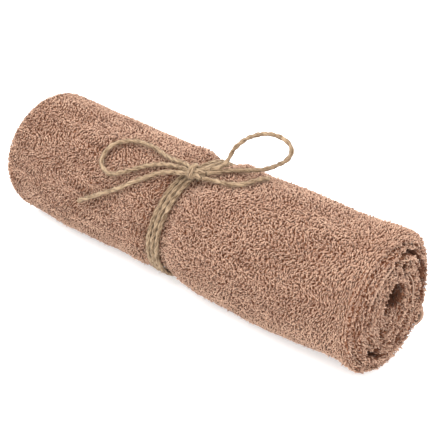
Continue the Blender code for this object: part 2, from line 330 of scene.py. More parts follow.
def even_points(fine, spacing):
    """Points along a fine line, all the same distance apart."""
    reach = np.concatenate([[0], np.cumsum(np.linalg.norm(np.diff(fine, axis=0), axis=1))])
    even = np.linspace(0, reach[-1], max(3, round(reach[-1] / spacing) + 1))
    return np.stack([np.interp(even, reach, fine[:, axis]) for axis in range(3)], -1)


def smooth_route(points):
    """Evenly spaced points on a smooth curve through a strand's own points."""
    knots = np.array(points)
    ends = np.concatenate([[2 * knots[0] - knots[1]], knots, [2 * knots[-1] - knots[-2]]])
    t = np.linspace(0, 1, CURVE_STEPS, endpoint=False)[:, None]
    fine = []
    for before, here, after, beyond in zip(ends, ends[1:], ends[2:], ends[3:]):
        fine.append(0.5 * (2 * here + (after - before) * t
                           + (2 * before - 5 * here + 4 * after - beyond) * t ** 2
                           + (3 * here - before - 3 * after + beyond) * t ** 3))
    fine.append(knots[-1:])
    return even_points(np.concatenate(fine), RING_SPACING)


def lift_clear(route):
    """Move a strand out from the roll's axis until it clears the towel."""
    angle = np.arctan2(route[:, 2], route[:, 1])
    winding = (angle - FREE_EDGE_ANGLE) % FULL_TURN
    clear = tied_radius(winding, route[:, 0]) + TWINE_RADIUS + GAP
    radius = np.hypot(route[:, 1], route[:, 2])
    lifted = route.copy()
    lifted[:, 1:] *= np.maximum(clear / radius, 1)[:, None]
    return lifted


def wrap_route():
    """The winding of the twine round the waist, three turns side by side."""
    turns = np.linspace(0, WRAP_TURNS, WRAP_TURNS * WRAP_STEPS + 1)
    angle = WRAP_START_ANGLE + turns * FULL_TURN
    winding = (angle - FREE_EDGE_ANGLE) % FULL_TURN
    bridge = np.where(winding < math.pi, 0, 1 - smooth_step((FULL_TURN - winding) / BRIDGE_ANGLE))
    radius = tied_radius(winding, tie_shift(angle)) + FREE_EDGE_STEP * bridge + TWINE_RADIUS + GAP
    along = tie_shift(angle) + WRAP_SPACING * (turns - WRAP_TURNS / 2)
    fine = np.stack([along, radius * np.cos(angle), radius * np.sin(angle)], -1)
    return even_points(fine, RING_SPACING)


def band_route():
    """The strand that goes over the knot: a ring, not quite closed, round the others."""
    across = np.array((0, -math.sin(KNOT_ANGLE), math.cos(KNOT_ANGLE)))
    up = np.array((0, math.cos(KNOT_ANGLE), math.sin(KNOT_ANGLE)))
    angle = (BAND_START + BAND_SWEEP * np.linspace(0, 1, BAND_STEPS + 1))[:, None]
    middle = np.array((KNOT_X, 0, 0)) + up * KNOT_RADIUS
    slant = np.array((BAND_SLANT, 0, 0)) * np.cos(angle)
    ring = middle + across * BAND_ACROSS * np.cos(angle) + up * BAND_UP * np.sin(angle) + slant
    return even_points(ring, RING_SPACING)


def turned_frames(route):
    """Directions ahead and to two sides at each point of a route, without needless twist."""
    ahead = unit(np.gradient(route, axis=0))
    side = [unit(np.cross(ahead[0], ANY_WAY))]
    for direction in ahead[1:]:
        side.append(unit(side[-1] - direction * np.dot(side[-1], direction)))
    side = np.array(side)
    return ahead, side, np.cross(ahead, side)


def add_piece(name, shape, material):
    """Link a finished mesh, which rides on the one body of the part."""
    if isinstance(shape, bmesh.types.BMesh):
        mesh = bpy.data.meshes.new(name)
        shape.to_mesh(mesh)
        shape.free()
    else:
        mesh = shape
    mesh.shade_smooth()
    mesh.materials.append(material)
    piece = bpy.data.objects.new(name, mesh)
    bpy.context.scene.collection.objects.link(piece)
    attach(piece, "root")
    return piece


def sweep_disc(shape, line, side, up, radii, sides):
    """Add a closed tube: a disc, extruded from ring to ring. Tells each vertex's place on it."""
    made = bmesh.ops.create_circle(shape, cap_ends=True, segments=sides, radius=1)
    face = made["verts"][0].link_faces[0]
    marks = {}
    for ring in range(len(line)):
        if ring:
            face = bmesh.ops.extrude_discrete_faces(shape, faces=[face])["faces"][0]
        for corner, vertex in enumerate(face.verts):
            angle = FULL_TURN * corner / sides
            spoke = side[ring] * math.cos(angle) + up[ring] * math.sin(angle)
            vertex.co = line[ring] + spoke * radii[ring]
            marks[vertex] = (ring, corner)
    rim = {edge for vertex in marks for edge in vertex.link_edges if edge.is_boundary}
    bmesh.ops.holes_fill(shape, edges=list(rim), sides=sides)
    return marks


def sweep_ply(shape, line, side, up, radii, lane, lanes):
    """Add one ply, with the way of its fibres and its strip of the map."""
    vectors = shape.verts.layers.float_vector
    way = vectors.get("fibre_way") or vectors.new("fibre_way")
    uv = shape.loops.layers.uv.get("OFBake") or shape.loops.layers.uv.new("OFBake")
    start = rng.uniform(0, 50)
    marks = sweep_disc(shape, line + ROLL_AXIS, side, up, radii, PLY_SIDES)
    for vertex, (ring, corner) in marks.items():
        angle = FULL_TURN * corner / PLY_SIDES
        along = start + ring * RING_SPACING * FIBRE_STRETCH
        vertex[way] = (along, PLY_WAY * math.cos(angle), PLY_WAY * math.sin(angle))
    for face in {face for vertex in marks for face in vertex.link_faces}:
        corners = [marks[vertex][1] for vertex in face.verts]
        wraps = max(corners) - min(corners) > 1
        for loop in face.loops:
            ring, corner = marks[loop.vert]
            corner = PLY_SIDES if wraps and corner == 0 else corner
            place = (corner + 0.5) / (PLY_SIDES + 1)
            across = (lane + PLY_MARGIN + (1 - 2 * PLY_MARGIN) * place) / lanes
            loop[uv].uv = ((ring + 0.5) / (len(line) + 0.5), across)


def twist_twine(shape, route, lane=0, lanes=2, fullness=1.0):
    """Add two plies that wind round each other along a route."""
    ahead, side, up = turned_frames(route)
    turn = FULL_TURN * np.arange(len(route)) / RINGS_PER_TWIST
    swell = 1 + PLY_UNEVEN * np.sin(np.arange(len(route)) * PLY_UNEVEN_WAVE + rng.uniform(0, 6))
    for ply in range(2):
        angle = (turn + ply * math.pi)[:, None]
        line = route + (side * np.cos(angle) + up * np.sin(angle)) * PLY_OFFSET * fullness
        rough = rng.uniform(-PLY_ROUGH, PLY_ROUGH, len(route))
        sweep_ply(shape, line, side, up, PLY_RADIUS * fullness * (swell + rough), lane + ply, lanes)


JUTE_LIGHT = (0.400, 0.288, 0.186, 1)
JUTE_MID = (0.240, 0.157, 0.091, 1)
JUTE_DARK = (0.080, 0.044, 0.021, 1)

jute, finish, sockets = new_finish("jute", 0.85, 0.15, (1.0, 0.93, 0.80, 1))
fibre_way = finish.attribute("fibre_way", 1)
streaks = finish.noise(fibre_way, 2.6, 4)
place = finish.place()
patches = finish.noise(place, 130, 2)
strands = finish.node("ShaderNodeMapRange", {}, {"Value": streaks, "From Min": 0.36, "From Max": 0.60})
colour = finish.mix(strands, JUTE_DARK, JUTE_MID)
finish.mix(patches * strands, colour, JUTE_LIGHT).feed(sockets["Base Color"])
finish.bump(streaks, 1.0, 0.0006).feed(sockets["Normal"])

CORDS = (
    # node, route, what is at its far end, how it lies
    ("twine_wraps", wrap_route(), "knot", "taut"),
    ("bow_loop_left", lift_clear(smooth_route(LEFT_LOOP)), "object", "loose"),
    ("bow_loop_right", lift_clear(smooth_route(RIGHT_LOOP)), "object", "loose"),
    ("bow_tail_left", lift_clear(smooth_route(LEFT_TAIL)), "bare", "loose"),
    ("bow_tail_right", lift_clear(smooth_route(RIGHT_TAIL)), "bare", "loose"),
)
TUBE_SIDES = 3
MAP_MARGIN = 0.06
CAP_RADIUS = 0.1
CAP_MIDDLES = ((0.1, 0.88), (0.6, 0.88))
FLOOR_CLEARANCE = 0.0002
FIBRES_PER_METRE = 2200
FIBRE_LENGTH = (0.0010, 0.0016)
FIBRE_LONGEST = 0.0070
FIBRE_RINGS = 3
FIBRE_RADIUS = 0.00009
FIBRE_VARIES = 0.3
FIBRE_TAPER = 0.6
FIBRE_ROOT = 0.6
FIBRE_RISE = (0.15, 0.85)
FIBRE_BEND = 1.4
FIBRE_CURL = 0.35

jute_fibre, finish, sockets = new_finish("jute_fibre", 0.7)
place = finish.place()
finish.mix(finish.noise(place, 300, 2), JUTE_MID, JUTE_LIGHT).feed(sockets["Base Color"])


def above_floor(points, clearance=FLOOR_CLEARANCE):
    """Cloth and pile that the roll's weight presses flat against what it lies on."""
    points[..., 2] = np.maximum(points[..., 2], clearance)
    return points


def pairs(rows, columns):
    """Every pair of a row and a column, row by row."""
    return (grid.ravel() for grid in np.meshgrid(rows, columns, indexing="ij"))


def bake_cells(count):
    """The corner of each tube's own square on the map, and the squares' width."""
    side = math.ceil(math.sqrt(count))
    index = np.arange(count)
    return np.stack([index % side, index // side], -1) / side, 1 / side


def joined_tubes(name, lines, radii, side_way, tone):
    """One mesh of many short tubes. lines is (tubes, rings, 3), radii is (tubes, rings)."""
    count, rings, _ = lines.shape
    sides = TUBE_SIDES
    ahead = unit(np.gradient(lines, axis=1))
    first = unit(side_way[:, None] - ahead * np.sum(ahead * side_way[:, None], -1, keepdims=True))
    second = np.cross(ahead, first)
    angle = FULL_TURN * np.arange(sides) / sides
    spokes = first[:, :, None] * np.cos(angle)[:, None] + second[:, :, None] * np.sin(angle)[:, None]
    points = above_floor(lines[:, :, None] + spokes * radii[:, :, None, None])

    ring, corner = pairs(np.arange(rings - 1), np.arange(sides))
    beside = (corner + 1) % sides
    quads = np.stack([ring * sides + corner, ring * sides + beside,
                      (ring + 1) * sides + beside, (ring + 1) * sides + corner], -1)
    caps = np.stack([np.arange(sides)[::-1], (rings - 1) * sides + np.arange(sides)])
    offset = (np.arange(count) * rings * sides)[:, None, None]
    corners = np.concatenate([(quads + offset).ravel(), (caps + offset).ravel()])
    sizes = np.concatenate([np.full(count * len(quads), 4), np.full(count * 2, sides)])

    mesh = bpy.data.meshes.new(name)
    mesh.vertices.add(points.size // 3)
    mesh.vertices.foreach_set("co", points.astype(np.float32).ravel())
    mesh.loops.add(len(corners))
    mesh.loops.foreach_set("vertex_index", corners.astype(np.int32))
    mesh.polygons.add(len(sizes))
    starts = np.concatenate([[0], np.cumsum(sizes)[:-1]])
    mesh.polygons.foreach_set("loop_start", starts.astype(np.int32))
    mesh.update(calc_edges=True)

    cell, width = bake_cells(count)
    quad_u = np.stack([ring, ring, ring + 1, ring + 1], -1) / (rings - 1)
    quad_v = np.stack([corner, corner + 1, corner + 1, corner], -1) / (sides + 1)
    cap_uv = np.array(CAP_MIDDLES)[:, None] + CAP_RADIUS * np.stack([np.cos(angle), np.sin(angle)], -1)
    uv = [MAP_MARGIN + (1 - 2 * MAP_MARGIN) * part[None]
          for part in (np.stack([quad_u, quad_v], -1), cap_uv)]
    uv = [(cell[:, None, None] + part * width).reshape(-1, 2) for part in uv]
    uv = np.concatenate(uv).astype(np.float32).ravel()
    mesh.uv_layers.new(name="OFBake").data.foreach_set("uv", uv)
    # rise runs from 0 at a tube's ends to 1 at its middle. The pile's finish turns it into painted light
    # on the loops' crests and painted shade at their roots.
    rise = np.repeat(np.sin(np.linspace(0, math.pi, rings)), sides)
    for key, values in (("tone", np.repeat(tone, rings * sides)), ("rise", np.tile(rise, count))):
        mesh.attributes.new(key, "FLOAT", "POINT").data.foreach_set("value", values.astype(np.float32))
    return mesh


def stray_fibres(name, route):
    """Fine fibres that stand out of a stretch of twine."""
    ahead, side, up = turned_frames(route)
    count = round(len(route) * RING_SPACING * FIBRES_PER_METRE)
    start = rng.integers(0, len(route), count)
    angle = rng.uniform(0, FULL_TURN, count)[:, None]
    out = side[start] * np.cos(angle) + up[start] * np.sin(angle)
    along = ahead[start] * rng.choice((-1, 1), (count, 1))
    across = np.cross(out, along)
    length = FIBRE_LENGTH[0] + rng.exponential(FIBRE_LENGTH[1], count)
    length = length.clip(max=FIBRE_LONGEST)[:, None, None]
    t = np.linspace(0, 1, FIBRE_RINGS)[None, :, None]
    rise = rng.uniform(*FIBRE_RISE, (count, 1, 1))
    curl = rng.normal(0, FIBRE_CURL, (count, 1, 1))
    stand = PLY_RADIUS + PLY_OFFSET * FIBRE_ROOT + length * rise * t ** FIBRE_BEND
    lines = route[start][:, None] + out[:, None] * stand
    lines = lines + along[:, None] * length * t + across[:, None] * length * curl * t ** 2
    varied = rng.uniform(1 - FIBRE_VARIES, 1 + FIBRE_VARIES, (count, 1))
    radii = FIBRE_RADIUS * varied * (1 - FIBRE_TAPER * t[:, :, 0])
    mesh = joined_tubes(name, lines + ROLL_AXIS, radii, across, rng.uniform(0, 1, count))
    return add_piece(name, mesh, jute_fibre)


knot = bmesh.new()
knot_routes = [band_route()] + [smooth_route(strand) for strand in KNOT_STRANDS]
for number, route in enumerate(knot_routes):
    twist_twine(knot, route, 2 * number, 2 * len(knot_routes), 1.0 if number else BAND_SWELL)
bmesh.ops.recalc_face_normals(knot, faces=knot.faces[:])
knot = add_piece("knot_of_twine", knot, jute)
knot_fibres = stray_fibres("bow_knot_fibres", np.concatenate(knot_routes[1:]))
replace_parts(knot, "bow_knot")
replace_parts(knot_fibres, "bow_knot")

for node, route, far_end, lay in CORDS:
    shape = bmesh.new()
    twist_twine(shape, route)
    bmesh.ops.recalc_face_normals(shape, faces=shape.faces[:])
    piece = add_piece(f"{node}_of_twine", shape, jute)
    fibres = stray_fibres(f"{node}_fibres", route)
    on_it = [fibres, knot, knot_fibres] if node == "twine_wraps" else [fibres]
    path = route + ROLL_AXIS
    tuple(path[0])
    [tuple(point) for point in path]
    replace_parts(piece, node)
    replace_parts(fibres, node)


# The outside of the towel is its outermost layer, a plush terry wound once round from its
# free edge, which lies along the lower back. It turns over into a soft rim at both ends,
# and the twine pulls it in. This is the ground weave, which lies below the pile.
DOME_DEPTH = 0.0150
DOME_FLAT_RADIUS = 0.0345
SIDE_HALF = ROLL_LENGTH / 2 - DOME_DEPTH
RIM_ARC = 0.0115
CREST_SHARE = 0.375
PILE_DEPTH = 0.0014
GROUND_DEPTH = 0.0022
LAYER_THICKNESS = 0.0020
GROUND_CLEARANCE = 0.0008
SKIN_STEP = 0.0038
SLOPE_STEP = 0.0004
STRIP_MARGIN = 0.02
BROAD_LUMPS = 0.0005
SMALL_LUMPS = 0.0003
PUCKERS = 17
PUCKER_DEPTH = 0.0007
PUCKER_STATION = 0.0170
PUCKER_SPREAD = 0.0090
UNDERLAP = 0.30
SWELLS = (
    # along the roll, its spread, angle round the roll, its spread in degrees, height
    (0.165, 0.045, 48, 42, 0.0024),
    (0.163, 0.030, -50, 27, 0.0086),
    (0.168, 0.026, 18, 32, 0.0046),
    (0.166, 0.022, 250, 32, -0.0026),
    (0.150, 0.036, 232, 38, -0.0044),
    (0.080, 0.028, 52, 40, 0.0020),
    (0.021, 0.010, 62, 38, 0.0024),
    (0.014, 0.014, 232, 35, -0.0030),
    (-0.045, 0.030, 232, 35, -0.0028),
    (-0.165, 0.045, 98, 42, 0.0036),
    (-0.168, 0.035, 185, 50, -0.0036),
)


def lumps(winding, along):
    """The soft unevenness of cloth rolled by hand, and small puckers beside the twine."""
    angle = FREE_EDGE_ANGLE + winding
    broad = np.sin(2 * angle + 38 * along) * np.sin(55 * along + 3 * angle + 0.7)
    small = np.sin(5 * angle - 61 * along + 1.1) * np.sin(97 * along + 2 * angle)
    station = np.abs(along - tie_shift(angle))
    fold = np.sin(PUCKERS * angle + 2.0 * np.sin(3 * angle))
    fold = fold * np.exp(-((station - PUCKER_STATION) / PUCKER_SPREAD) ** 2)
    away = smooth_step(station / PUCKER_STATION)
    height = BROAD_LUMPS * broad + SMALL_LUMPS * small + swells(angle, along)
    return height * away - PUCKER_DEPTH * fold


def swells(angle, along):
    """Where the roll is a little fuller or slacker than the rest."""
    height = np.zeros_like(angle + along)
    for middle, length, centre, spread, full in SWELLS:
        turned = (angle - math.radians(centre) + math.pi) % FULL_TURN - math.pi
        turned = turned / math.radians(spread)
        height = height + full * np.exp(-((along - middle) / length) ** 2 - turned ** 2)
    return height


def crest_lean(winding):
    """How far the outside turns over at an end before it meets the crest of its own turn."""
    outside = winding_radius(winding)
    crest = outside - CREST_SHARE * (outside - winding_radius(winding + FULL_TURN))
    return np.arccos(np.clip((crest - DOME_FLAT_RADIUS) / (outside - DOME_FLAT_RADIUS), 0, 1))


def roll_point(winding, reach, lift=0.0):
    """A point of the wound outside; reach runs along the side and on over the rims."""
    winding, reach = np.broadcast_arrays(np.asarray(winding, float), np.asarray(reach, float))
    over = np.maximum(np.abs(reach) - SIDE_HALF, 0) / RIM_ARC
    lean = over * crest_lean(np.minimum(winding, FULL_TURN))
    along = np.clip(reach, -SIDE_HALF, SIDE_HALF)
    side = tied_radius(winding, along) + lumps(winding, along) * (1 - smooth_step(over)) + lift
    radius = np.where(lean > 0, DOME_FLAT_RADIUS + (side - DOME_FLAT_RADIUS) * np.cos(lean), side)
    x = along + np.sign(reach) * (DOME_DEPTH + lift) * np.sin(lean)
    angle = FREE_EDGE_ANGLE + winding
    return np.stack([x, radius * np.cos(angle), radius * np.sin(angle)], -1) + ROLL_AXIS


def slope(place, first, second, sign=1.0):
    """The outward direction of a surface that a function gives, and the way round it."""
    turned = SLOPE_STEP / ROLL_RADIUS
    one = place(first + turned, second) - place(first - turned, second)
    other = place(first, second + SLOPE_STEP) - place(first, second - SLOPE_STEP)
    return unit(np.cross(one, other)) * sign, unit(one)


def wound_grid(patches, step, depth=None):
    """Grids of cloth, each laid on the roll by a function of two values between limits."""
    cloth = bmesh.new()
    # deep holds each vertex's share of painted shade, as the depth function gives it.
    deep = cloth.verts.layers.float.new("deep")
    uv = cloth.loops.layers.uv.new("OFBake")
    for number, ((start, end), (left, right), around, across, place) in enumerate(patches):
        rows = max(2, round(around / step))
        columns = max(2, round(across / step))
        made = bmesh.ops.create_grid(cloth, x_segments=columns, y_segments=rows, size=0.5)["verts"]
        flat = np.array([vertex.co for vertex in made]) + 0.5
        wound = place(start + flat[:, 1] * (end - start), left + flat[:, 0] * (right - left))
        for face in {face for vertex in made for face in vertex.link_faces}:
            for corner in face.loops:
                share = corner.vert.co
                strip = number + STRIP_MARGIN + (1 - 2 * STRIP_MARGIN) * (share.y + 0.5)
                corner[uv].uv = (share.x + 0.5, strip / len(patches))
        for vertex, point in zip(made, wound):
            vertex.co = point
            vertex[deep] = depth(point - ROLL_AXIS) if depth else 0.0
    return cloth


# The loops range between the light and the dark colour. The ground colours and the near-black brown are
# painted shade, for the gaps between loops and the hollows of the open end.
TERRY_LIGHT = (0.575, 0.371, 0.260, 1)
TERRY_MID = (0.270, 0.128, 0.074, 1)
TERRY_DARK = (0.200, 0.077, 0.040, 1)
TERRY_GAP_SHADE = (0.075, 0.022, 0.010, 1)
TERRY_PAINTED_SHADE = (0.070, 0.027, 0.014, 1)

# The ground weave is coloured far darker than the loops, as painted shade for the gaps between them. The
# deep attribute mixes in a near-black brown: painted shade in the hollows and partings of the open end.
ground_weave, finish, sockets = new_finish("terry_ground", 0.95)
place = finish.place()
weave = finish.noise(place, 900, 2)
deep = finish.attribute("deep")
knots = finish.node("ShaderNodeMapRange", {}, {"Value": weave, "From Min": 0.42, "From Max": 0.62})
finish.mix(deep, finish.mix(knots, TERRY_GAP_SHADE, TERRY_MID), TERRY_PAINTED_SHADE).feed(sockets["Base Color"])
finish.bump(weave, 0.6, 0.0006).feed(sockets["Normal"])


def skin_place(winding, reach):
    return above_floor(roll_point(winding, reach, -GROUND_DEPTH), GROUND_CLEARANCE)


def add_layer(piece, thickness):
    """Give a sheet its thickness, inwards."""
    layer = piece.modifiers.new("layer", "SOLIDIFY")
    layer.thickness = thickness
    layer.offset = -1


RIM_REACH = SIDE_HALF + RIM_ARC
WOUND_ROUND = FULL_TURN + UNDERLAP
patch = ((0, WOUND_ROUND), (RIM_REACH, -RIM_REACH), WOUND_ROUND * ROLL_RADIUS, 2 * RIM_REACH, skin_place)
skin = add_piece("towel_outside", wound_grid([patch], SKIN_STEP), ground_weave)
add_layer(skin, LAYER_THICKNESS)
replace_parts(skin, "towel_roll")


# The ends of the roll: the edges of the wound pack, which was folded in four. The right
# end shows the four open edges of each turn, the left end its two folds. The layers part
# in some places and sink in at the core, as they do when a towel is rolled by hand.
CORE_RECESS = 0.0030
CORE_RADIUS = 0.0200
PLY_GROOVE = 0.0026
PLY_GROOVE_WIDTH = 0.0010
TURN_GROOVE_WIDTH = 0.0021
UNEVEN_EDGE = 0.0009
DEEPEST = 0.0230
SQUEEZE = 0.26
STRETCH = 0.06
CORE_RISE = 0.0060
SQUEEZE_REACH = 0.0490
CORE_CLOSED = 0.0002
UNEVEN_FROM = 0.9
RIPPLE = 0.35
HOLLOW_SPREAD = 1.35
PARTING_SPREAD = 1.6
PARTING_TIP = 1 / 6
PACK_LAYERS = 4
INNER_TURNS = 4
LAST_WINDING = (1 + INNER_TURNS) * FULL_TURN
END_STEP = 0.0016
END_DETAIL = 2.6
END_THICKNESS = 0.0010
SHADED_DEPTH = 0.0026

# Each end: its side, edges that show in a turn, and depth of the groove between turns
OPEN_END = (1, PACK_LAYERS, 0.0060)
FOLDED_END = (-1, 2, 0.0045)

# Hollows in the right end, measured from the roll's axis
HOLLOWS = (
    # y, z, radius, depth
    (0.0026, 0.0104, 0.0092, 0.0200),
    (0.0078, 0.0048, 0.0052, 0.0120),
    (-0.0030, 0.0010, 0.0036, 0.0220),
    (0.0098, 0.0300, 0.0036, 0.0150),
    (0.0200, 0.0178, 0.0027, 0.0120),
    (-0.0106, -0.0152, 0.0032, 0.0130),
    (0.0122, -0.0292, 0.0040, 0.0050),
    (-0.0163, -0.0251, 0.0030, 0.0120),
    (-0.0245, -0.0195, 0.0024, 0.0100),
)

# Where the layers part in the right end, as arcs
PARTINGS = (
    # from angle and radius, to angle and radius, half width, depth
    (104, 0.0335, 80, 0.0392, 0.0011, 0.0080),
    (86, 0.0385, 54, 0.0412, 0.0014, 0.0120),
    (58, 0.0412, 14, 0.0376, 0.0024, 0.0110),
    (30, 0.0388, -18, 0.0340, 0.0030, 0.0120),
    (46, 0.0258, -16, 0.0192, 0.0009, 0.0060),
    (150, 0.0225, 124, 0.0330, 0.0008, 0.0060),
    (128, 0.0326, 98, 0.0372, 0.0008, 0.0060),
    (212, 0.0286, 162, 0.0272, 0.0008, 0.0050),
    (168, 0.0274, 138, 0.0335, 0.0008, 0.0050),
    (262, 0.0320, 212, 0.0316, 0.0014, 0.0090),
)


def dome_x(winding, radius):
    """How far along the roll its end reaches at a radius."""
    outside = winding_radius(np.minimum(winding, FULL_TURN))
    span = np.clip((radius - DOME_FLAT_RADIUS) / (outside - DOME_FLAT_RADIUS), 0, 1)
    dome = ROLL_LENGTH / 2 - DOME_DEPTH * (1 - np.sqrt(1 - span ** 2))
    return dome - CORE_RECESS * (1 - smooth_step(radius / CORE_RADIUS))


def groove(distance, width, depth):
    """Depth of a rounded groove at a distance from its middle."""
    return depth * (1 - smooth_step(np.abs(distance) / width))


def parted(y, z):
    """How deep the right end is hollowed at a place."""
    depth = np.zeros_like(y)
    for middle_y, middle_z, radius, hollow in HOLLOWS:
        away = np.hypot(y - middle_y, z - middle_z) / radius
        depth += hollow * (1 - smooth_step(away / HOLLOW_SPREAD))
    angle = np.degrees(np.arctan2(z, y))
    radius = np.hypot(y, z)
    for start, start_radius, end, end_radius, half_width, deep in PARTINGS:
        share = ((start - angle) % 360) / (start - end)
        line = start_radius + (end_radius - start_radius) * share
        tips = smooth_step(np.minimum(share, 1 - share) / PARTING_TIP)
        depth += tips * groove(radius - line, half_width * PARTING_SPREAD, deep)
    return np.minimum(depth, DEEPEST)


def squeezed(y, z):
    """The inner turns are not round: they are narrower than tall, and their middle lies high."""
    inner = 1 - smooth_step(np.hypot(y, z) / SQUEEZE_REACH)
    return y * (1 - SQUEEZE * inner), z * (1 + STRETCH * inner) + CORE_RISE * inner


def end_point(winding, share, end, folds, turn_groove, lift=0.0):
    """A point of an end face; share runs across a turn from its outside to its inside."""
    outer = winding_radius(winding)
    thickness = outer - winding_radius(winding + FULL_TURN)
    radius = np.maximum(outer - share * thickness, CORE_CLOSED)
    angle = FREE_EDGE_ANGLE + winding
    y, z = squeezed(radius * np.cos(angle), radius * np.sin(angle))
    fold = np.floor(np.clip(share, 0, 0.999) * folds)
    waves = np.sin(2.6 * winding + end + 2.3 * fold) + np.sin(1.3 * winding + 1.7 * fold)
    depth = UNEVEN_EDGE * np.abs(waves) * smooth_step(winding / FULL_TURN - UNEVEN_FROM)
    from_turn = np.minimum(share, 1 - share) * thickness
    depth = depth + groove(from_turn, TURN_GROOVE_WIDTH, turn_groove - PLY_GROOVE)
    from_fold = (share * folds - np.round(share * folds)) / folds * thickness
    ripple = 1 - RIPPLE + RIPPLE * np.sin(3.1 * winding + 2.4 * np.round(share * folds))
    depth = depth + groove(from_fold, PLY_GROOVE_WIDTH * PACK_LAYERS / folds, PLY_GROOVE * ripple)
    if end > 0:
        depth = depth + parted(y, z)
    x = dome_x(winding, np.hypot(y, z)) - depth + lift
    return np.stack([end * x, y, z], -1) + ROLL_AXIS


def end_piece(name, end, folds, turn_groove):
    """The ground weave of one end face: the inner half of the outer turn, and the rest."""

    def place(winding, share):
        point = end_point(winding, share, end, folds, turn_groove, -GROUND_DEPTH)
        return above_floor(point, GROUND_CLEARANCE)

    patches = []
    for first, last, outside in ((0, FULL_TURN, CREST_SHARE), (FULL_TURN, LAST_WINDING, 0.0)):
        shares = (1.0, outside) if end > 0 else (outside, 1.0)
        around = (last - first) * float(winding_radius((first + last) / 2))
        across = END_DETAIL * TURN_PITCH * (1 - outside)
        patches.append(((first, last), shares, around, across, place))

    # Painted shade: the ground weave of the open end darkens where it is hollowed or parted.
    def depth(point):
        return float(smooth_step(parted(point[1], point[2]) / SHADED_DEPTH)) if end > 0 else 0.0

    piece = add_piece(name, wound_grid(patches, END_STEP, depth), ground_weave)
    add_layer(piece, END_THICKNESS)
    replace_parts(piece, "towel_roll")


end_piece("end_open_edges", *OPEN_END)
end_piece("end_folds", *FOLDED_END)


# Selvedges: the woven edges of the towel, without pile, which show as thin smooth light
# cords where a layer of the pack stands proud of the others on the open end.
SELVEDGE_RADIUS = 0.00070
SELVEDGE_SINK = 0.0021
SELVEDGE_STEP = 3
SELVEDGE_WANDER = 0.02
CORD_SIDES = 6
CORD_TIP = 0.35
CORD_SWELL = 0.3
RIB_SCALE = 210
SELVEDGES = (
    # turn, layer of its four, from angle and to angle round the roll, share of the usual thickness
    (1, 3, 96, 150, 1.0),
    (2, 1, 118, 196, 0.9),
    (2, 3, -20, 50, 0.6),
)
HEM_LIGHT = (0.410, 0.268, 0.192, 1)
HEM_DARK = (0.250, 0.145, 0.096, 1)

woven_edge, finish, sockets = new_finish("woven_edge", 0.85, 0.2, (1.0, 0.9, 0.8, 1))
place = finish.place()
threads = finish.noise(place, 1400, 3)
ribs = {"Vector": place, "Scale": RIB_SCALE, "Distortion": 1.5}
ribs = finish.node("ShaderNodeTexWave", {}, ribs, 1)
finish.mix(threads * 0.6 + ribs * 0.4, HEM_DARK, HEM_LIGHT).feed(sockets["Base Color"])
finish.bump(threads * 0.5 + ribs, 0.6, 0.0004).feed(sockets["Normal"])


def cord_along(shape, line, radius):
    """Add a thin cord that narrows at its tips."""
    ahead, side, up = turned_frames(line)
    ring = np.arange(len(line))
    ease = np.minimum(1.0, CORD_TIP + CORD_SWELL * np.minimum(ring, ring[::-1]))
    sweep_disc(shape, line, side, up, radius * ease, CORD_SIDES)


edges = bmesh.new()
for turn, layer, start, end, share in SELVEDGES:
    count = max(8, round(abs(end - start) / SELVEDGE_STEP))
    winding = turn * FULL_TURN + np.radians(np.linspace(start, end, count)) - FREE_EDGE_ANGLE
    across = (layer + 0.5) / PACK_LAYERS + SELVEDGE_WANDER * np.sin(9 * winding + layer)
    line = end_point(winding, across, *OPEN_END)
    line[:, 0] = dome_x(winding, np.hypot(*(line - ROLL_AXIS)[:, 1:].T)) - SELVEDGE_SINK
    cord_along(edges, line, SELVEDGE_RADIUS * share)
bmesh.ops.recalc_face_normals(edges, faces=edges.faces[:])
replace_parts(add_piece("selvedges", edges, woven_edge), "towel_roll")


# The hems across the towel's free end: flat woven strips without pile, turned under and
# stitched, one on the outermost layer and one on the layer below that stands out past it.
HEM_WIDTH = 0.0130
HEM_THICKNESS = 0.0020
HEM_STEP = 0.0016
HEM_SHOWN = 0.0105
STITCH_INSET = 0.0100
STITCH_WAY = 0.0109
STITCH_GROOVE = 0.0006
STITCH_GROOVE_WIDTH = 0.0010
STITCH_EASE = 0.0008
FRAY = 0.0004
FRAY_WIDTH = 0.0010
HEM_EASE = 0.0300
HEM_FLARE = 0.0030
HEM_ROUNDING = 0.0040
STITCH_PITCH = 0.0030
STITCH_LENGTH = 0.0024
STITCH_RISE = 0.0004
STITCH_RADIUS = 0.00032
HEMS = (
    # name, winding at its free edge, height over the weave, short of the left rim, of the right
    ("hem_outer", -0.0010 / ROLL_RADIUS, 0.0002, 0.0060, 0.0020),
    ("hem_inner", FULL_TURN - HEM_SHOWN / ROLL_RADIUS, 0.0012, 0.0030, 0.0),
)


def hem_place(start, lift):
    """Where a hem lies: so far round from the free edge, so far above the ground weave."""

    def place(way, reach):
        winding = start + way / ROLL_RADIUS
        past = way - STITCH_INSET
        sewn = smooth_step(past / STITCH_EASE) - smooth_step((past - STITCH_GROOVE_WIDTH) / STITCH_EASE)
        fray = FRAY * np.sin(reach * 310) + FRAY * np.sin(reach * 127 + 1)
        winding = winding + np.where(way < FRAY_WIDTH, fray / ROLL_RADIUS, 0)
        near_end = smooth_step((np.abs(reach) - SIDE_HALF + HEM_EASE) / HEM_EASE)
        flare = HEM_FLARE * near_end * (reach > 0)
        reach = reach - np.sign(reach) * HEM_ROUNDING * near_end * (2 * way / HEM_WIDTH - 1) ** 2
        point = roll_point(winding, reach, lift + flare - STITCH_GROOVE * sewn)
        return above_floor(point, GROUND_CLEARANCE)

    return place


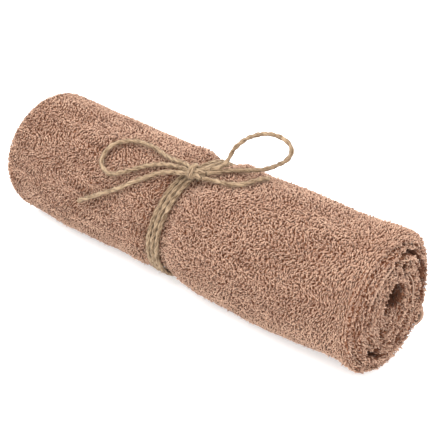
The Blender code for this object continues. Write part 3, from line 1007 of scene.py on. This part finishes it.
def hem_piece(name, start, lift, left, right):
    """A strip of hem between two places along the roll, and its row of stitches."""
    patch = ((0, HEM_WIDTH), (right, left), HEM_WIDTH, right - left, hem_place(start, lift))
    piece = add_piece(name, wound_grid([patch], HEM_STEP), woven_edge)
    add_layer(piece, HEM_THICKNESS)
    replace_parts(piece, "towel_roll")

    begins = np.arange(left + STITCH_PITCH, right - STITCH_PITCH, STITCH_PITCH)
    reach = begins[:, None] + STITCH_LENGTH * np.linspace(0, 1, 3)
    lines = hem_place(start, lift + STITCH_RISE)(np.full_like(reach, STITCH_WAY), reach)
    radii = np.full(reach.shape, STITCH_RADIUS)
    out = unit((lines[:, 1] - ROLL_AXIS) * (0, 1, 1))
    row = joined_tubes(f"{name}_stitches", lines, radii, out, rng.uniform(0, 1, len(begins)))
    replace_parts(add_piece(f"{name}_stitches", row, woven_edge), "towel_roll")


for name, start, lift, left_gap, right_gap in HEMS:
    hem_piece(name, start, lift, -RIM_REACH + left_gap, RIM_REACH - right_gap)


# The pile: loops of soft twisted cotton, which stand in wavy rows round the roll and every
# way on its ends. Each is a bent tube 2 to 3 mm long, and thousands are joined in one mesh.
LOOP_SPACING = 0.00150
END_SPACING = 0.00138
LOOP_RINGS = 3
LOOP_RADIUS = 0.00039
LOOP_LENGTH = (0.0017, 0.0031)
LOOP_HEIGHT = (0.0008, 0.0019)
LOOP_SUNK = (-0.0005, 0.0004)
LOOP_ROOT = 0.0003
LOOP_BOW = 0.0007
LOOP_LEAN = 0.0006
LOOP_ARCH = 0.7
LOOP_TAPER = 0.20
LOOP_VARIES = 0.15
LOOP_TONES = (0.05, 0.95)
TALL_SHARE = 0.05
TALL_LOOP = 1.6
HEM_OVERLAID = 0.0015
UNDER_TWINE = 0.0047
THINNED = 0.66
# How strongly painted shade darkens the loops in the open end's hollows.
PAINTED_SHADE_TONE = 1.8
# Drawn loops are made a little darker: painted shade.
DRAWN_PAINTED_SHADE = 0.05
DRAWN_TURN = 0.85
DRAWN_BOW = 0.7
DRAWN_FROM = 0.125
DRAWN_SIDE = 0.0060
SHADED_RIM = (12, 28)
STRAY = 1.1
STEADIED = 0.7
RIM_EASE = 0.004
SIDE_PATCHES = 0.10
END_PATCHES = 0.12
END_TURN = 2.2
END_LEAN = 0.8
END_MIDDLE = 0.030
END_ARC_STEPS = 4000
CORE_LEAST = 0.002
ROW_EASE = 0.09
ROW_STEEP = 0.3
ROW_PITCH = 0.0027
ROW_SHADE = 0.60
ROW_PULL = (0.80, 0.32)
ROW_WAVES = (
    # height, radians a metre around the roll and along it, start
    (0.0042, 190, 32, 0.0),
    (0.0017, -340, 66, 1.7),
    (0.0012, 520, 50, 0.6),
)

pile_cloth, finish, sockets = new_finish("terry_pile", 0.9, 0.25, (1.0, 0.85, 0.75, 1))
place = finish.place()
fibre = finish.noise(place, 1500, 2)
# tone is each loop's own random tone plus painted light and shade from its row, the right rim and the
# hollows. Below zero it turns the colour to a near-black brown, which is painted shade. rise adds
# painted light on the loops' crests and painted shade at their roots.
tone = finish.attribute("tone")
rise = finish.attribute("rise")
shade = tone * 0.46 + rise * 0.50 + finish.noise(place, 45, 3) * 0.24
colour = finish.mix(shade + fibre * 0.12 - 0.18, TERRY_DARK, TERRY_LIGHT)
finish.mix(tone * -1.0, colour, TERRY_PAINTED_SHADE).feed(sockets["Base Color"])
finish.bump(fibre, 0.35, 0.0003).feed(sockets["Normal"])


def pile_rows(winding, reach):
    """How far off its wavy row a place is, and the way across the row."""
    around = winding * ROLL_RADIUS
    height, rise_around, rise_along = reach, 0.0, 1.0
    for swing, turns_around, turns_along, start in ROW_WAVES:
        angle = turns_around * around + turns_along * reach + start
        height = height + swing * np.sin(angle)
        rise_around = rise_around + swing * turns_around * np.cos(angle)
        rise_along = rise_along + swing * turns_along * np.cos(angle)
    steep = np.maximum(np.hypot(rise_around, rise_along), ROW_STEEP)
    off = height - np.round(height / ROW_PITCH) * ROW_PITCH
    return off / steep, rise_around / steep, rise_along / steep


def pile_piece(name, base, normal, ring_way, lay, stray, drawn, tone):
    """Loops on a surface, each about the way of its lay, or drawn round the roll."""
    count = len(base)
    base = base + normal * rng.uniform(*LOOP_SUNK, (count, 1))
    turn = (lay + stray * rng.uniform(-1, 1, count)) * (1 - DRAWN_TURN * drawn)
    heading = np.cos(turn)[:, None] * ring_way + np.sin(turn)[:, None] * np.cross(normal, ring_way)
    side = np.cross(normal, heading)
    t = np.linspace(0, 1, LOOP_RINGS)[None, :, None]
    arch = np.sin(math.pi * t)
    length = rng.uniform(*LOOP_LENGTH, (count, 1, 1))
    height = rng.uniform(*LOOP_HEIGHT, (count, 1, 1))
    height = height * np.where(rng.uniform(0, 1, (count, 1, 1)) < TALL_SHARE, TALL_LOOP, 1.0)
    bow = rng.normal(0, LOOP_BOW, (count, 1, 1))
    lean = rng.normal(0, LOOP_LEAN, (count, 1, 1))
    lines = base[:, None] + heading[:, None] * (length * (t - 0.5) + lean * arch)
    lines = lines + side[:, None] * bow * arch * (1 - DRAWN_BOW * drawn[:, None, None])
    lines = lines + normal[:, None] * (height * arch ** LOOP_ARCH - LOOP_ROOT)
    radius = LOOP_RADIUS * rng.uniform(1 - LOOP_VARIES, 1 + LOOP_VARIES, (count, 1))
    radii = radius * (1 - LOOP_TAPER + LOOP_TAPER * arch[:, :, 0])
    mesh = joined_tubes(name, lines, radii, side, rng.uniform(*LOOP_TONES, count) + tone)
    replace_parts(add_piece(name, mesh, pile_cloth), "towel_roll")


def outside_pile(name, left, right):
    """Loops on a stretch of the wound outside, scattered evenly and then pulled into rows."""
    rows = np.arange(HEM_WIDTH - HEM_OVERLAID, FULL_TURN * ROLL_RADIUS - HEM_SHOWN, LOOP_SPACING)
    winding, reach = pairs(rows / ROLL_RADIUS, np.arange(left, right, LOOP_SPACING))
    winding = winding + rng.uniform(-0.5, 0.5, winding.size) * LOOP_SPACING / ROLL_RADIUS
    reach = reach + rng.uniform(-0.5, 0.5, reach.size) * LOOP_SPACING
    reach = np.clip(reach, -RIM_REACH, RIM_REACH)
    keep = np.abs(reach - tie_middle(FREE_EDGE_ANGLE + winding)) > UNDER_TWINE
    winding, reach = winding[keep], reach[keep]
    patch = np.sin(winding * 7 + reach * 90) + np.sin(winding * 17 - reach * 140)
    drawn = smooth_step((reach - DRAWN_FROM) / (SIDE_HALF - DRAWN_FROM))
    off, across_around, across_along = pile_rows(winding, reach)
    pull = ROW_PULL[0] + (ROW_PULL[1] - ROW_PULL[0]) * smooth_step((reach + ROW_EASE) / ROW_EASE)
    pull = pull * smooth_step((RIM_REACH - np.abs(reach)) / RIM_EASE) * (1 - drawn)
    winding = winding - pull * off * across_around / ROLL_RADIUS
    reach = reach - pull * off * across_along
    # Painted light on loops in the middle of a row, and painted shade on those towards the gaps between
    # rows.
    shade = ROW_SHADE * (0.5 - 4 * np.abs(off) / ROW_PITCH) * pull / ROW_PULL[0]
    # Painted shade on the loops over part of the right rim, whose crest lies in shade.
    turned = (np.degrees(FREE_EDGE_ANGLE + winding) - SHADED_RIM[0] + 180) % 360 - 180
    painted_shade = smooth_step((reach - SIDE_HALF) / RIM_ARC) * np.exp(-(turned / SHADED_RIM[1]) ** 2)
    base = roll_point(winding, reach, -PILE_DEPTH)
    lay = np.arctan2(-across_around, across_along)
    tone = SIDE_PATCHES * patch + shade - DRAWN_PAINTED_SHADE * drawn - painted_shade
    stray = STRAY * (1 - STEADIED * pull / ROW_PULL[0])
    pile_piece(name, base, *slope(roll_point, winding, reach), lay, stray, drawn, tone)


def end_pile(name, end, folds, turn_groove):
    """Loops on the edges of the wound layers at one end."""
    fine = np.linspace(0, LAST_WINDING, END_ARC_STEPS)
    middle = np.maximum(winding_radius(fine) - TURN_PITCH / 2, CORE_LEAST)
    arc = np.cumsum(middle) * (fine[1] - fine[0])
    rows = np.interp(np.arange(0, arc[-1], END_SPACING), arc, fine)
    lanes = round(TURN_PITCH / END_SPACING)
    winding, share = pairs(rows, (np.arange(lanes) + 0.5) / lanes)
    winding = winding + rng.uniform(-0.5, 0.5, winding.size) * END_SPACING / END_MIDDLE
    share = np.clip(share + rng.uniform(-0.5, 0.5, share.size) / lanes, 0.01, 0.99)
    crowd = (winding_radius(winding) - winding_radius(winding + FULL_TURN)) / TURN_PITCH
    keep = ((winding > FULL_TURN) | (share > CREST_SHARE)) & (rng.uniform(0, 1, share.size) < crowd)
    winding, share = winding[keep], share[keep]

    def place(around, across):
        return end_point(around, across, end, folds, turn_groove, -PILE_DEPTH)

    normal, ring_way = slope(place, winding, share, end)
    normal = unit(normal + np.array((END_LEAN * end, 0, 0)))
    ring_way = unit(ring_way - normal * np.sum(ring_way * normal, -1, keepdims=True))
    patch = np.sin(winding * 5) + np.sin(winding * 13 + 4 * share)
    base = place(winding, share)
    depth = parted(base[:, 1] - ROLL_AXIS[1], base[:, 2] - ROLL_AXIS[2]) * (end > 0)
    # Painted shade in the open end's hollows and partings: the loops there thin out, and those left
    # darken to a near-black brown.
    painted_shade = smooth_step(depth / SHADED_DEPTH)
    drawn = smooth_step((-base[:, 1] - DRAWN_SIDE) / DRAWN_SIDE) * (end > 0)
    keep = rng.uniform(0, 1, share.size) > THINNED * painted_shade
    tone = END_PATCHES * patch - DRAWN_PAINTED_SHADE * drawn - PAINTED_SHADE_TONE * painted_shade
    lay = END_TURN * patch[keep]
    pile_piece(name, base[keep], normal[keep], ring_way[keep], lay, STRAY, drawn[keep], tone[keep])


PILE_STRETCHES = (-RIM_REACH, -0.116, -0.058, 0.0, 0.058, 0.116, RIM_REACH)
for number, (left, right) in enumerate(zip(PILE_STRETCHES, PILE_STRETCHES[1:]), 1):
    outside_pile(f"pile_outside_{number}", left, right)
end_pile("pile_open_end", *OPEN_END)
end_pile("pile_folded_end", *FOLDED_END)


# The studio: a wide sheet of pale paper under the roll, and three large lamps that light it
# softly from above, so that only a faint shadow shows.
FLOOR_SIZE = 6.0
FLOOR_BELOW = 0.0001
LAMPS = (
    # name, place, size, power
    ("key_lamp", (-0.2, -0.9, 1.7), 1.2, 30),
    ("top_lamp", (0.3, 0.7, 1.8), 1.6, 27),
    ("fill_lamp", (1.4, -0.9, 0.8), 1.2, 10),
)
floor_paper, finish, sockets = new_finish("floor_paper", 0.9)
sockets["Base Color"].default_value = (0.85, 0.85, 0.85, 1)
sockets["Emission Color"].default_value = (1, 1, 1, 1)
sockets["Emission Strength"].default_value = 0.45
paper = bmesh.new()
bmesh.ops.create_grid(paper, x_segments=1, y_segments=1, size=FLOOR_SIZE / 2)
bmesh.ops.translate(paper, verts=paper.verts, vec=(0, 0, -FLOOR_BELOW))
mesh = bpy.data.meshes.new("floor")
paper.to_mesh(mesh)
paper.free()
mesh.materials.append(floor_paper)
floor = bpy.data.objects.new("floor", mesh)
bpy.context.scene.collection.objects.link(floor)

for name, place, size, power in LAMPS:
    lamp_data = bpy.data.lights.new(name, "AREA")
    lamp_data.size = size
    lamp_data.energy = power
    lamp = bpy.data.objects.new(name, lamp_data)
    lamp.location = place
    lamp.rotation_mode = "QUATERNION"
    lamp.rotation_quaternion = (ROLL_CENTRE - Vector(place)).to_track_quat("-Z", "Y")
    bpy.context.scene.collection.objects.link(lamp)

world = bpy.data.worlds.new("studio")
world.use_nodes = True
sockets = world.node_tree.nodes["Background"].inputs
sockets["Color"].default_value = (1, 1, 1, 1)
sockets["Strength"].default_value = 1.28
bpy.context.scene.world = world
bpy.context.scene.view_settings.view_transform = "Standard"
